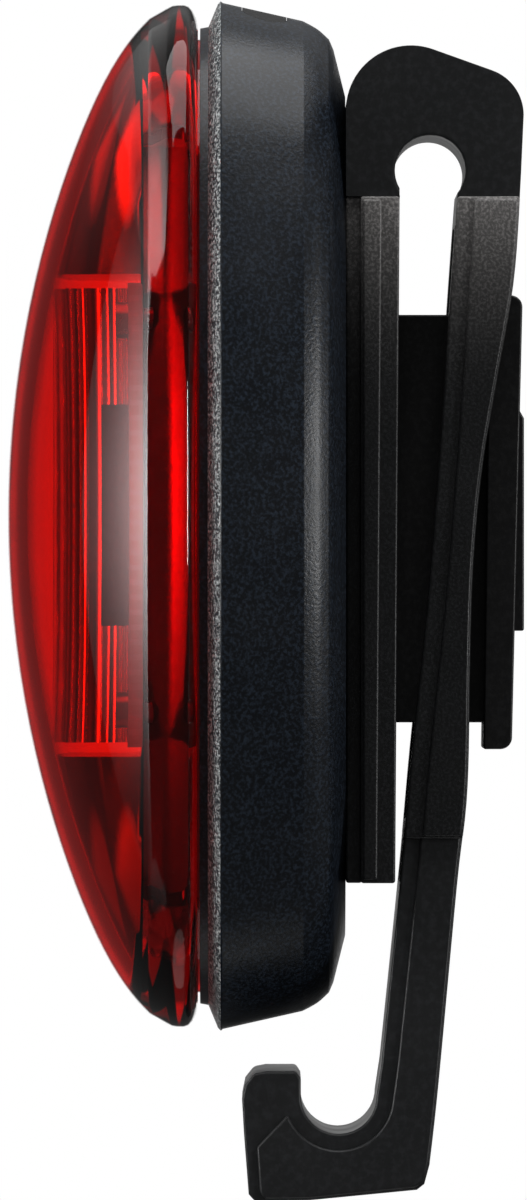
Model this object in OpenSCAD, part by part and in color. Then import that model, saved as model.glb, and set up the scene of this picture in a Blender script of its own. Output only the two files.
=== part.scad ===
// Bike rear light: a domed lens module, a battery housing, and a spring clip with a slide shoe.
// Millimetres, +Z up. The lens faces -Y, and the origin is the centre of the shoe's back pad.

/* [Light body] */
// Height of the housing
light_h = 70; // [69:0.5:74]
// Width of the housing
light_w = 40; // [39.5:0.5:41]
// Radius of the two ends of the oval outline
tip_r = 16; // [15.5:0.1:16.5]
// Depth of the housing from its front edge to its back
housing_d = 9.6; // [9.5:0.1:10.4]
// Depth of the red rim behind the dome
rim_d = 3.3; // [3.2:0.1:3.8]
// Rise of the dome above the rim
dome_h = 9.65; // [9.6:0.05:10.4]
// Radius of the dome's upright curve
crown_r = 71.5; // [70:0.5:76]
// Thickness of the dome
dome_wall = 1.3; // [1.2:0.05:1.35]
// Thickness of the housing's back
back_wall = 1.8; // [1.7:0.05:1.9]

/* [Cells] */
// Diameter of a cell
cell_dia = 10.5; // [10.2:0.1:10.5]
// Length of a cell with its button
cell_len = 44.5; // [44:0.1:44.5]
// Distance between the axes of the cells
cell_pitch = 10.8; // [10.7:0.1:10.9]

/* [Switch] */
// Length of the switch cap across the light
cap_len = 9; // [7:0.5:9]
// Width of the switch cap along the depth
cap_w = 3; // [2.6:0.1:3]

/* [Spring clip and shoe] */
// Distance from the housing's back to the shoe's pad
bracket_d = 12.1; // [12:0.1:12.6]
// Width across the clip's legs
clip_w = 22; // [21:0.5:23]
// Width of the clip's bend and hook
bend_w = 20; // [19:0.5:20.5]
// Width of the window between the legs
window_w = 15; // [14.6:0.1:15.4]
// Width of the shoe's flange
flange_w = 13.6; // [12:0.2:13.8]
// Width of the shoe's neck
neck_w = 10; // [8:0.5:10]
// Radius of the hole in the clip's bend
keyhole_r = 2.38; // [2.3:0.02:2.4]

/* [Hidden] */
$fn = 64;

// Levels along the depth, as distances in front of the shoe's pad
back_d = bracket_d;
front_d = back_d + housing_d;
lens_gap = 0.4;
ring_back_d = front_d + lens_gap;
ring_front_d = ring_back_d + rim_d;
collar_depth = 2.1;
collar_end_d = front_d - collar_depth;
mouth_floor_d = collar_end_d - 0.3;
floor_d = back_d + back_wall;
board_t = 1;
board_front_d = ring_front_d + board_t;

// Oval outline: two end arcs and two side arcs that meet without a corner
half_w = light_w / 2;
tip_z = light_h / 2 - tip_r;
side_r = (half_w * half_w + tip_z * tip_z - tip_r * tip_r) / (2 * (half_w - tip_r));
side_x = side_r - half_w;
side_turn = atan2(tip_z, side_x);

// Half widths of the oval steps, measured at mid height
ring_r = half_w - 0.25;
dome_r = ring_r - 0.9;
mouth_r = half_w - 2.5;
slide_gap = 0.1;
collar_r = mouth_r - slide_gap;
collar_in_r = collar_r - 1.8;
cavity_r = half_w - 3;
flat_r = half_w - 6.5;
// Inner reach of a swept oval, and half width and half height of the block that fills its middle
core_r = 6;
core = [9, 21];
// How far a cutting shape runs past the face that it cuts
cut = 1;

// Gaskets and screws
cord_r = 0.58;
seal_groove_r = collar_r - 1.15;
seal_d = collar_end_d + 1.15;
seal_groove_half = 0.65;
screw_z = 9;
screw_r = 1;
screw_clear_r = 1.15;
screw_pilot_r = 1.03;
washer_t = 0.4;
head_r = 1.9;
head_t = 1.3;
screw_tip_d = 4;

// Front module
board_w = 27;
board_h = 31;
board_screw_x = 12.3;
board_screw_z = 13;
small_screw_r = 0.75;
small_pilot_r = 0.77;
small_clear_r = 0.85;
small_head_r = 1.2;
small_head_t = 0.8;
optic_a = 10.6;
optic_b = 5.4;
optic_t = 0.9;
optic_len = 30.4;
flute_depth = 0.2;
flutes = 24;
cup_pitch = 9.8;
cup_hole_r = 2.2;
reflector_d = board_front_d + 0.5;

// Cells and contacts
cell_r = cell_dia / 2;
cell_x = cell_pitch / 2;
tray_floor_t = 0.3;
cell_d = floor_d + tray_floor_t + 0.05 + cell_r;
contact_z = cell_len / 2 + 1.95;
contact_t = 0.4;
contact_w = 7.9;
contact_in = 0.7;
contact_behind = 4;
contact_ahead = 3.8;
partition_z = contact_z + contact_t;
partition_t = 1;
nub_r = 1.9;
nub_h = 1;
spring_len = 2 * contact_z - cell_len;
wire_r = 0.25;

// Switch
cap_d = back_d + 5.5;
cap_gap = 0.12;
tact_w = 4.5;
tact_h = 2.2;
switch_board_t = 0.8;
tact_z = partition_z + partition_t + switch_board_t;
plunger_r = 1.1;
plunger_rise = 0.5;
stem_gap = 0.5;
flange_t = 0.8;

// Clip outline, as points of depth behind the pad and height
split_y = -6.41;
split_gap = 0.05;
keyhole_z = 23.26;
bend_front = [-7.7, 27.3];
bend_front_r = bracket_d + bend_front[0];
bend_back = [-3.3, 27];
bend_back_r = 3.2;
leg_top_z = 21.5;
leg_bottom_z = -21.8;
base_bottom_z = -24.8;
base_top_y = -8.47;
base_bottom_y = -8.77;
pad_t = 1;
pad_w = 19;
window_z = [-20.6, 19.6];
hook_centre = [-12.58, -39.17];
hook_r = 2.55;
pocket_y = -9.6;
neck_z = [-14, 13.6];

// Points of an arc around a centre
function arc(c, r, from, to, steps) =
  [for (k = [0:steps]) c + r * [cos(from + (to - from) * k / steps), sin(from + (to - from) * k / steps)]];

// Smooth curve through hand-set points
function curve_point(a, b, c, d, t) =
  (2 * b + (c - a) * t + (2 * a - 5 * b + 4 * c - d) * t * t + (3 * b - a - 3 * c + d) * t * t * t) / 2;
function smooth(p, steps) = [
  for (i = [0:len(p) - 2], k = [0:steps - 1])
    curve_point(p[max(i - 1, 0)], p[i], p[i + 1], p[min(i + 2, len(p) - 1)], k / steps),
  p[len(p) - 1]
];
function reversed(p) = [for (i = [len(p) - 1:-1:0]) p[i]];

// Turns a shape drawn as width, height and distance in front of the pad into the part's frame
module facing_front() {
  rotate([90, 0, 0])
    children();
}

// Sweeps a profile of half width and depth around the oval outline. The side arc and the end arc
// meet on the plane through both of their centres, where they have the same direction.
module around() {
  side_wedge = [[-side_x, 0], [side_x, -2 * tip_z], [side_x, 2 * tip_z]];
  tip_wedge = [
    [0, tip_z], [side_x, 2 * tip_z], [side_x, 4 * tip_z], [-side_x, 4 * tip_z], [-side_x, 2 * tip_z]
  ];
  for (turn = [0, 180])
    rotate(turn) {
      intersection() {
        translate([-side_x, 0, 0])
          rotate_extrude($fn = 360)
            translate([side_x, 0])
              children();
        linear_extrude(light_h)
          polygon(side_wedge);
      }
      intersection() {
        translate([0, tip_z, 0])
          rotate_extrude()
            translate([tip_r - half_w, 0])
              children();
        linear_extrude(light_h)
          polygon(tip_wedge);
      }
    }
}

// Extrudes a side outline of depth and height across the part
module across(width) {
  rotate([90, 0, 90])
    linear_extrude(width, center = true)
      children();
}

// Block from its least to its greatest corner
module block(from, to) {
  translate(from)
    cube(to - from);
}

// Oval solid whose edge follows points of half width and depth, from back to front
module filled(points) {
  from_d = points[0][1];
  to_d = points[len(points) - 1][1];
  around()
    polygon(concat([[core_r, from_d]], points, [[core_r, to_d]]));
  block([-core[0], -core[1], from_d], [core[0], core[1], to_d]);
}

// Housing
housing_outline = concat(
  [[flat_r, back_d], [half_w - 3.3, back_d + 0.8]],
  smooth([
    [half_w - 2.6, back_d + 1.1], [half_w - 1.9, back_d + 1.65], [half_w - 1.36, back_d + 2.7]
  ], 4),
  [
    [half_w - 0.12, front_d - 1.3], [half_w, front_d - 1.15], [half_w - 0.2, front_d - 0.95],
    [mouth_r, front_d]
  ]
);

module housing_inside() {
  filled([
    [cavity_r - 1.5, floor_d], [cavity_r, floor_d + 1.5], [cavity_r, mouth_floor_d],
    [mouth_r, mouth_floor_d], [mouth_r, front_d + cut]
  ]);
}

// Column through the top wall, for the switch cap and its hole
module cap_column(gap) {
  from_z = light_h / 2 - 7;
  to_z = light_h / 2 + 1;
  length = cap_len + 2 * gap;
  width = cap_w + 2 * gap;
  translate([0, from_z, cap_d])
    rotate([-90, 0, 0])
      linear_extrude(to_z - from_z) {
        square([length - width, width], center = true);
        for (side = [-1, 1])
          translate([side * (length - width) / 2, 0])
            circle(d = width);
      }
}

module rear_housing() {
  color("#1b1b1d")
    facing_front()
      difference() {
        filled(housing_outline);
        housing_inside();
        cap_column(cap_gap);
        for (z = [-screw_z, screw_z])
          translate([0, z, back_d - cut])
            cylinder(r = screw_clear_r, h = back_wall + 2 * cut);
      }
}

// Lens module
module lens_ring() {
  rail_in = 11;
  rail_out = collar_in_r + 0.3;
  rail_half = 14.5;
  rail_d = ring_front_d - 1.4;
  color("#a10d12", 0.85)
    facing_front()
      difference() {
        union() {
          around()
            polygon([
              [collar_in_r, collar_end_d], [collar_r, collar_end_d],
              [collar_r, seal_d - seal_groove_half], [seal_groove_r, seal_d - seal_groove_half],
              [seal_groove_r, seal_d + seal_groove_half], [collar_r, seal_d + seal_groove_half],
              [collar_r, ring_back_d], [ring_r - 1.65, ring_back_d], [ring_r - 0.9, ring_back_d + 0.12],
              [ring_r - 0.35, ring_back_d + 0.4], [ring_r, ring_back_d + 0.9],
              [ring_r, ring_front_d - 1.5], [ring_r - 0.5, ring_front_d - 0.5], [dome_r, ring_front_d],
              [collar_in_r, ring_front_d]
            ]);
          for (side = [0, 1])
            mirror([side, 0, 0])
              block([rail_in, -rail_half, rail_d], [rail_out, rail_half, ring_front_d]);
        }
        for (x = [-board_screw_x, board_screw_x], z = [-board_screw_z, board_screw_z])
          translate([x, z, rail_d - cut])
            cylinder(r = small_pilot_r, h = ring_front_d - rail_d + 2 * cut);
      }
}

// Oval outline of the dome's foot, counter-clockwise
foot_tip_r = dome_r + tip_r - half_w;
foot_side_r = dome_r + side_x;
tip_steps = 18;
side_steps = 14;
function without_ends(p) = [for (i = [1:len(p) - 2]) p[i]];
foot = concat(
  arc([0, tip_z], foot_tip_r, side_turn, 180 - side_turn, tip_steps),
  without_ends(arc([side_x, 0], foot_side_r, 180 - side_turn, 180 + side_turn, side_steps)),
  arc([0, -tip_z], foot_tip_r, 180 + side_turn, 360 - side_turn, tip_steps),
  without_ends(arc([-side_x, 0], foot_side_r, -side_turn, side_turn, side_steps))
);
rings = 10;
end_power = 16;
dome_half = tip_z + foot_tip_r;
end_drop = dome_h - crown_r + sqrt(crown_r * crown_r - dome_half * dome_half);

// Rise of the dome's middle line at a height, which falls off at the two ends
function crown(z) =
  dome_h - crown_r + sqrt(crown_r * crown_r - z * z) - end_drop * pow(abs(z) / dome_half, end_power);
// Half width of the foot at a height
function half_width(z) =
  abs(z) <= foot_side_r * sin(side_turn) ? sqrt(foot_side_r * foot_side_r - z * z) - side_x
  : sqrt(max(foot_tip_r * foot_tip_r - pow(abs(z) - tip_z, 2), 0));
// Rise of the dome over a point inside its foot, with a round arc across
function rise(x, z) =
  let (w = half_width(z), h = crown(z), r = (w * w + h * h) / (2 * h))
  sqrt(r * r - x * x) - r + h;
// One skin of the dome, its foot scaled by width, height and rise
function skin(sx, sz, sd) = concat(
  [
    for (j = [0:rings - 1], p = foot)
      let (k = cos(90 * j / rings))
      [p[0] * k * sx, p[1] * k * sz, ring_front_d + (j == 0 ? 0 : sd * rise(p[0] * k, p[1] * k))]
  ],
  [[0, 0, ring_front_d + sd * dome_h]]
);

// Faces of a skin, seen from outside
foot_size = len(foot);
skin_size = foot_size * rings + 1;
last_ring = (rings - 1) * foot_size;
quads = [
  for (j = [0:rings - 2], i = [0:foot_size - 1])
    [j * foot_size + i, j * foot_size + (i + 1) % foot_size]
];
skin_faces = concat(
  [for (q = quads) [q[0], q[0] + foot_size, q[1]]],
  [for (q = quads) [q[1], q[0] + foot_size, q[1] + foot_size]],
  [for (i = [0:foot_size - 1]) [last_ring + i, skin_size - 1, last_ring + (i + 1) % foot_size]]
);

module lens_dome() {
  outer = skin(1, 1, 1);
  inner = skin(1 - dome_wall / dome_r, 1 - dome_wall / dome_half, 1 - dome_wall / dome_h);
  inner_faces = [for (f = skin_faces) [f[0] + skin_size, f[2] + skin_size, f[1] + skin_size]];
  foot_faces = concat(
    [for (i = [0:foot_size - 1]) [i, (i + 1) % foot_size, i + skin_size]],
    [for (i = [0:foot_size - 1]) [(i + 1) % foot_size, (i + 1) % foot_size + skin_size, i + skin_size]]
  );
  color("#b01014", 0.7)
    facing_front()
      polyhedron(concat(outer, inner), concat(skin_faces, inner_faces, foot_faces));
}

module lens_gasket() {
  color("#202020")
    facing_front()
      around()
        translate([seal_groove_r + cord_r + 0.02, seal_d])
          circle(cord_r);
}

module optic_insert() {
  outer_steps = 2 * flutes;
  outer = [
    for (k = [0:outer_steps])
      let (a = 180 * k / outer_steps, f = flute_depth * cos(flutes * a))
      [(optic_a + f) * cos(a), board_front_d + (optic_b + f) * sin(a)]
  ];
  inner = [
    for (k = [0:flutes])
      let (a = 180 - 180 * k / flutes)
      [(optic_a - optic_t) * cos(a), board_front_d + (optic_b - optic_t) * sin(a)]
  ];
  color("#c41a16", 0.7)
    facing_front()
      translate([0, optic_len / 2, 0])
        rotate([90, 0, 0])
          linear_extrude(optic_len)
            polygon(concat(outer, inner));
}

module optic_clips() {
  clip_in = optic_a + flute_depth + 0.1;
  clip_t = 1.4;
  clip_half = 7.4;
  clip_h = 1.8;
  color("#17171a")
    facing_front()
      for (side = [0, 1])
        mirror([side, 0, 0])
          block([clip_in, -clip_half, board_front_d], [clip_in + clip_t, clip_half, board_front_d + clip_h]);
}

module reflector() {
  plate_x = 9;
  plate_z = 14.8;
  plate_t = 0.7;
  cup_h = 2.7;
  cup_foot_r = 2.9;
  cup_mouth_r = 4.7;
  cup_wall = 0.6;
  post_r = 0.6;
  post_h = 1;
  post_in = 1;
  color("#d8d8da")
    facing_front()
      difference() {
        union() {
          block([-plate_x, -plate_z, reflector_d], [plate_x, plate_z, reflector_d + plate_t]);
          for (z = [-cup_pitch, 0, cup_pitch])
            translate([0, z, reflector_d])
              cylinder(r1 = cup_foot_r, r2 = cup_mouth_r, h = cup_h);
          for (x = [-1, 1], z = [-1, 1])
            translate([x * (plate_x - post_in), z * (plate_z - post_in), board_front_d])
              cylinder(r = post_r, h = post_h);
        }
        for (z = [-cup_pitch, 0, cup_pitch]) {
          translate([0, z, reflector_d - cut])
            cylinder(r = cup_hole_r, h = plate_t + 2 * cut);
          translate([0, z, reflector_d])
            cylinder(r1 = cup_hole_r, r2 = cup_mouth_r - cup_wall, h = cup_h + 0.01);
        }
      }
}

// Bright band inside the collar, sloped so that it shows light from the front through the rim.
// It is notched around the ends of the tray.
module reflector_skirt() {
  seat_r = collar_in_r - 0.02;
  seat_d = ring_back_d - 0.8;
  slope_d = seat_d + 0.7;
  slope = [1.4, 1.8];
  wall = 0.5;
  notch_gap = 0.2;
  notch_x = contact_in + contact_w + notch_gap;
  notch_z = partition_z + partition_t + notch_gap;
  color("#d8d8da")
    facing_front()
      difference() {
        around()
          polygon([
            [seat_r, seat_d], [seat_r, slope_d], [seat_r - slope[0], slope_d + slope[1]],
            [seat_r - slope[0] - wall, slope_d + slope[1]], [seat_r - wall, slope_d], [seat_r - wall, seat_d]
          ]);
        block([-notch_x, -notch_z, seat_d - cut], [notch_x, notch_z, slope_d + slope[1] + cut]);
      }
}

// Reflector in one end of the lens: a narrower copy of the dome that rests on the ring's end, so
// that light still passes it on both sides
module reflex_block() {
  near_z = light_h / 2 - 18.8;
  far_z = light_h / 2 - 4.2;
  under_dome = skin(0.6, 0.95, 0.82);
  floor_faces = [for (i = [1:foot_size - 2]) [0, i, i + 1]];
  facing_front()
    intersection() {
      polyhedron(under_dome, concat(skin_faces, floor_faces));
      block([-half_w, near_z, ring_front_d], [half_w, far_z, ring_front_d + dome_h]);
    }
}

module reflex_top() {
  color("#d4381c")
    reflex_block();
}

module reflex_bottom() {
  color("#c02a18")
    mirror([0, 0, 1])
      reflex_block();
}

module circuit_board() {
  color("#14241a")
    facing_front()
      difference() {
        block([-board_w / 2, -board_h / 2, ring_front_d], [board_w / 2, board_h / 2, board_front_d]);
        for (x = [-board_screw_x, board_screw_x], z = [-board_screw_z, board_screw_z])
          translate([x, z, ring_front_d - cut])
            cylinder(r = small_clear_r, h = board_t + 2 * cut);
      }
}

// Light-emitting diode on a square base
module emitter(size, base_t, bulb_r) {
  block([-size / 2, -size / 2, 0], [size / 2, size / 2, base_t]);
  intersection() {
    translate([0, 0, base_t])
      sphere(bulb_r);
    cylinder(r = bulb_r + 1, h = base_t + bulb_r + 1);
  }
}

module main_led() {
  color("#f2e3c8")
    facing_front()
      translate([0, 0, board_front_d])
        emitter(3, 0.8, 1.3);
}

module side_leds() {
  color("#f2d8c8")
    facing_front()
      for (z = [-cup_pitch, cup_pitch])
        translate([0, z, board_front_d])
          emitter(2.8, 0.7, 1.1);
}

// Driver chip, coil and resistor on the back of the board, each a size and a height on the board
module board_parts() {
  chip = [[3.8, 5, 1.2], 0];
  coil = [[1.6, 3, 1.4], -5.5];
  resistor = [[1.4, 1.5, 0.6], 5.25];
  color("#2a2a2e")
    facing_front()
      for (part = [chip, coil, resistor])
        translate([0, part[1], ring_front_d - part[0][2] / 2])
          cube(part[0], center = true);
}

module board_screws() {
  grip = 1.3;
  color("#9a9a9e")
    facing_front()
      for (x = [-board_screw_x, board_screw_x], z = [-board_screw_z, board_screw_z])
        translate([x, z, 0]) {
          translate([0, 0, board_front_d])
            cylinder(r = small_head_r, h = small_head_t);
          translate([0, 0, ring_front_d - grip])
            cylinder(r = small_screw_r, h = board_t + grip + small_head_t / 2);
        }
}

module pickup_leaves() {
  leaf_in = 0.6;
  leaf_out = 2.6;
  leaf_d = ring_front_d - 0.35;
  leaf_t = 0.3;
  root_z = [12, 14];
  overlap = 1;
  color("#c8b070")
    facing_front()
      for (side = [0, 1])
        mirror([side, 0, 0]) {
          block([leaf_in, root_z[0], leaf_d], [leaf_out, contact_z + overlap, leaf_d + leaf_t]);
          block([leaf_in, root_z[0], leaf_d], [leaf_out, root_z[1], ring_front_d]);
        }
}

// Cells and contacts
module battery_tray() {
  tray_r = cavity_r - 1.1;
  chamfer = 1;
  tray_top = cell_d - 0.3;
  pocket_x = cell_x + cell_r + 0.15;
  end_z = partition_z + partition_t;
  end_x = 8.6;
  end_top = cell_d + 3.9;
  head_hole_r = head_r + 0.4;
  color("#2c2c30")
    facing_front()
      difference() {
        union() {
          intersection() {
            filled([[tray_r - chamfer, floor_d], [tray_r, floor_d + chamfer], [tray_r, tray_top]]);
            block([-light_w, -end_z, 0], [light_w, end_z, tray_top + cut]);
          }
          for (side = [0, 1])
            mirror([0, side, 0])
              block([-end_x, partition_z, floor_d], [end_x, end_z, end_top]);
        }
        block([-pocket_x, -partition_z, floor_d + tray_floor_t], [pocket_x, partition_z, tray_top + cut]);
        for (z = [-screw_z, screw_z])
          translate([0, z, floor_d - cut])
            cylinder(r = head_hole_r, h = tray_floor_t + 2 * cut);
      }
}

// Cell with its button upward, standing on height zero
module cell() {
  rim = 0.4;
  body_h = cell_len - nub_h;
  translate([0, -cell_d, 0])
    rotate_extrude()
      polygon([
        [0, 0], [cell_r - rim, 0], [cell_r, rim], [cell_r, body_h - rim], [cell_r - rim, body_h],
        [nub_r, body_h], [nub_r, cell_len], [0, cell_len]
      ]);
}

module battery_left() {
  color("#3f6f8f")
    translate([-cell_x, 0, contact_z - cell_len])
      cell();
}

module battery_right() {
  color("#3f6f8f")
    translate([cell_x, 0, 0])
      mirror([0, 0, 1])
        translate([0, 0, contact_z - cell_len])
          cell();
}

module top_contacts() {
  tab_w = 1.9;
  tab_end_d = ring_front_d - 0.4;
  color("#c9c9cc")
    facing_front()
      for (side = [0, 1])
        mirror([side, 0, 0])
          translate([contact_in, contact_z, 0]) {
            block([0, 0, cell_d - contact_behind], [contact_w, contact_t, cell_d + contact_ahead]);
            block([0, 0, cell_d], [tab_w, contact_t, tab_end_d]);
          }
}

module bottom_bridge() {
  half = contact_in + contact_w;
  color("#c9c9cc")
    facing_front()
      block(
        [-half, -contact_z - contact_t, cell_d - contact_behind],
        [half, -contact_z, cell_d + contact_ahead]
      );
}

// Conical contact spring as one tube, standing on height zero
spring_turns = 3;
spring_rings = 8;
spring_sides = 6;
spring_steps = spring_turns * spring_rings;
spring_foot_r = 3.3;
spring_tip_r = 2.2;
end_gap = 0.05;
spring_path = [
  for (k = [0:spring_steps])
    let (
      t = k / spring_steps,
      a = 360 * spring_turns * t,
      r = spring_foot_r + (spring_tip_r - spring_foot_r) * t
    )
    [r * cos(a), r * sin(a), end_gap + wire_r + (spring_len - 2 * (end_gap + wire_r)) * t]
];
spring_least_gap = min([
  for (i = [0:spring_steps], j = [0:spring_steps])
    if (j - i >= spring_rings / 2) norm(spring_path[i] - spring_path[j]) - 2 * wire_r
]);
echo(spring_least_gap = spring_least_gap);

module contact_spring() {
  m = spring_sides;
  points = [
    for (p = spring_path, s = [0:m - 1])
      let (u = [p[0], p[1], 0] / norm([p[0], p[1]]), a = 360 * s / m)
      p + wire_r * (cos(a) * u + [0, 0, sin(a)])
  ];
  end = spring_steps * m;
  polyhedron(points, concat(
    [for (k = [0:spring_steps - 1], s = [0:m - 1]) [k * m + s, (k + 1) * m + s, k * m + (s + 1) % m]],
    [
      for (k = [0:spring_steps - 1], s = [0:m - 1])
        [k * m + (s + 1) % m, (k + 1) * m + s, (k + 1) * m + (s + 1) % m]
    ],
    [for (s = [1:m - 2]) [0, s, s + 1]],
    [for (s = [1:m - 2]) [end, end + s + 1, end + s]]
  ));
}

module contact_springs() {
  color("#d4d4d6") {
    translate([-cell_x, -cell_d, -contact_z])
      contact_spring();
    translate([cell_x, -cell_d, contact_z])
      rotate([180, 0, 0])
        contact_spring();
  }
}

// Switch
stem_h = 0.3;
cap_flange_z = tact_z + tact_h + plunger_rise + stem_gap + stem_h;

module switch_cap() {
  flange_x = cap_len / 2 + 0.8;
  flange_y = cap_w / 2 + 0.3;
  stem_r = 1.2;
  color("#101012")
    facing_front() {
      intersection() {
        cap_column(0);
        filled(housing_outline);
        block([-light_w, cap_flange_z + flange_t / 2, 0], [light_w, light_h, front_d]);
      }
      block(
        [-flange_x, cap_flange_z, cap_d - flange_y],
        [flange_x, cap_flange_z + flange_t, cap_d + flange_y]
      );
      translate([0, cap_flange_z + flange_t / 2, cap_d])
        rotate([90, 0, 0])
          cylinder(r = stem_r, h = flange_t / 2 + stem_h);
    }
}

module switch_plunger() {
  depth = 1;
  color("#8c8c90")
    translate([0, -cap_d, tact_z + tact_h - depth])
      cylinder(r = plunger_r, h = depth + plunger_rise);
}

module tact_switch() {
  bore = 1.4;
  color("#29292c")
    translate([0, -cap_d, tact_z])
      difference() {
        block([-tact_w / 2, -tact_w / 2, 0], [tact_w / 2, tact_w / 2, tact_h]);
        translate([0, 0, tact_h - bore])
          cylinder(r = plunger_r + 0.06, h = bore + cut);
      }
}

module switch_board() {
  half = 6.5;
  behind = 3.1;
  ahead = 3.4;
  color("#14241a")
    facing_front()
      block([-half, tact_z - switch_board_t, cap_d - behind], [half, tact_z, cap_d + ahead]);
}

// Spring clip
keyhole = [split_y, keyhole_z];
slot_front = acos((base_top_y - split_y) / keyhole_r);
slot_back_y = -4.56;
slot_back = acos((slot_back_y - split_y) / keyhole_r);
// Angle of the straight run over the bend, which touches both of its rounds
run = bend_back - bend_front;
run_angle = atan2(run[1], run[0]) + acos((bend_front_r - bend_back_r) / norm(run));
bend_split_z = bend_front[1] + sqrt(pow(bend_front_r, 2) - pow(split_y - bend_front[0], 2));

arm_back = smooth([
  [-0.28, 23], [-0.75, 16], [-1.9, 9.2], [-2.9, 3.2], [-3.5, -3.2], [-3.72, -10], [-3.9, -18.5],
  [-4.6, -25], [-5.85, -38.4], [-6.45, -43.8]
], 3);
arm_front = smooth([
  [slot_back_y, keyhole_z - keyhole_r * sin(slot_back)], [-5.05, 15], [-5.65, 6], [-6.6, -6],
  [-7.6, -15.5], [-8.42, -24.5], [-9.7, -37]
], 3);

// Side outline of the clip's moving half, from the split over the bend to the hook and back up
arm_outline = concat(
  [
    [split_y + split_gap, bend_split_z - 0.01],
    bend_front + bend_front_r * [cos(run_angle), sin(run_angle)]
  ],
  arc(bend_back, bend_back_r, run_angle, 0, 8),
  arm_back,
  [
    [-6.8, -45.1], [-7.3, -45.5], [-14.5, -46.2], [-18.2, -46.3], [-18.65, -45.8], [-18.97, -41.7],
    [-19.1, -39.4], [-18.9, -38.4], [-18.3, -37.65], [-17.5, -37.5], [-15.45, -37.5],
    [hook_centre[0] - hook_r, -38]
  ],
  arc(hook_centre, hook_r, 180, 360, 16),
  reversed(arm_front),
  arc(keyhole, keyhole_r, -slot_back, 90 - asin(split_gap / keyhole_r), 10)
);

// Side outline of the fixed half's bend
base_bend = concat(
  [[split_y, bend_split_z]],
  arc(bend_front, bend_front_r, acos((split_y - bend_front[0]) / bend_front_r), 180, 12),
  [
    [-bracket_d, leg_top_z], [base_top_y, leg_top_z],
    [base_top_y, keyhole_z - keyhole_r * sin(slot_front)]
  ],
  arc(keyhole, keyhole_r, 360 - slot_front, 90, 12)
);

module clip_base() {
  step_y = pad_t - bracket_d;
  color("#1d1d1f")
    difference() {
      union() {
        across(bend_w)
          polygon(base_bend);
        across(clip_w)
          polygon([
            [step_y, leg_top_z], [step_y, base_bottom_z], [base_bottom_y, base_bottom_z],
            [base_top_y, leg_top_z]
          ]);
        across(pad_w)
          polygon([
            [-bracket_d, leg_top_z], [-bracket_d, base_bottom_z], [step_y, base_bottom_z],
            [step_y, leg_top_z]
          ]);
      }
      block([-neck_w / 2, pocket_y, neck_z[0]], [neck_w / 2, 0, neck_z[1]]);
      for (z = [-screw_z, screw_z])
        translate([0, -bracket_d - cut, z])
          rotate([-90, 0, 0])
            cylinder(r = screw_clear_r, h = bracket_d);
    }
}

// Slice of the moving half between two heights
module arm_slice(width, from_z, to_z) {
  intersection() {
    across(width)
      polygon(arm_outline);
    block([-clip_w, -light_h, from_z], [clip_w, light_h, to_z]);
  }
}

module clip_arm() {
  color("#1d1d1f")
    difference() {
      union() {
        arm_slice(bend_w, leg_top_z, light_h);
        arm_slice(clip_w, leg_bottom_z, leg_top_z);
        arm_slice(bend_w, -light_h, leg_bottom_z);
      }
      block([-window_w / 2, -light_h, window_z[0]], [window_w / 2, light_h, window_z[1]]);
    }
}

module mount_shoe() {
  pad_half = 4.5;
  corner = 0.8;
  neck_back_y = -2;
  flange_low = [-0.84, -15.8];
  flange_high = [-0.14, 14.9];
  pilot_end_y = 0.3 - screw_tip_d;
  color("#161618")
    difference() {
      union() {
        across(neck_w)
          polygon([
            [pocket_y, neck_z[0]], [neck_back_y, neck_z[0]], [neck_back_y, neck_z[1]], [pocket_y, neck_z[1]]
          ]);
        across(flange_w)
          polygon(concat(
            [[-2.78, flange_low[1]]],
            arc(flange_low + [-corner, corner], corner, 270, 360, 4),
            arc(flange_high - [corner, corner], corner, 0, 90, 4),
            [[-2.4, flange_high[1]]]
          ));
        across(2 * pad_half)
          polygon([[-1.2, -7.8], [0, -7.8], [0, 6.6], [-0.9, 8.2], [-1.2, 8.2]]);
      }
      for (z = [-screw_z, screw_z])
        translate([0, pocket_y - cut, z])
          rotate([-90, 0, 0])
            cylinder(r = screw_pilot_r, h = pilot_end_y - pocket_y + cut);
    }
}

module bracket_screws() {
  color("#8f8f93")
    facing_front()
      for (z = [-screw_z, screw_z])
        translate([0, z, 0]) {
          translate([0, 0, floor_d + washer_t])
            cylinder(r = head_r, h = head_t);
          translate([0, 0, screw_tip_d])
            cylinder(r = screw_r, h = floor_d + washer_t + head_t / 2 - screw_tip_d);
        }
}

module screw_seals() {
  color("#262626")
    facing_front()
      for (z = [-screw_z, screw_z])
        translate([0, z, floor_d])
          difference() {
            cylinder(r = head_r, h = washer_t);
            translate([0, 0, -cut])
              cylinder(r = screw_clear_r, h = washer_t + 2 * cut);
          }
}

rear_housing();
lens_ring();
lens_dome();
lens_gasket();
optic_insert();
optic_clips();
reflector();
reflector_skirt();
reflex_top();
reflex_bottom();
circuit_board();
main_led();
side_leds();
board_parts();
board_screws();
pickup_leaves();
battery_tray();
battery_left();
battery_right();
top_contacts();
bottom_bridge();
contact_springs();
switch_cap();
switch_plunger();
tact_switch();
switch_board();
clip_base();
clip_arm();
mount_shoe();
bracket_screws();
screw_seals();
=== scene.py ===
# %% [markdown]
# # A bike rear light, dressed for its photograph
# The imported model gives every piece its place, so it is loaded first and never moved.
# Lengths below are in millimetres in the part's own frame: +Z is up, the lens faces -Y,
# and the camera of the photograph stands on +X. A piece is scaled to metres when it is finished.

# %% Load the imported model
import math

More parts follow.
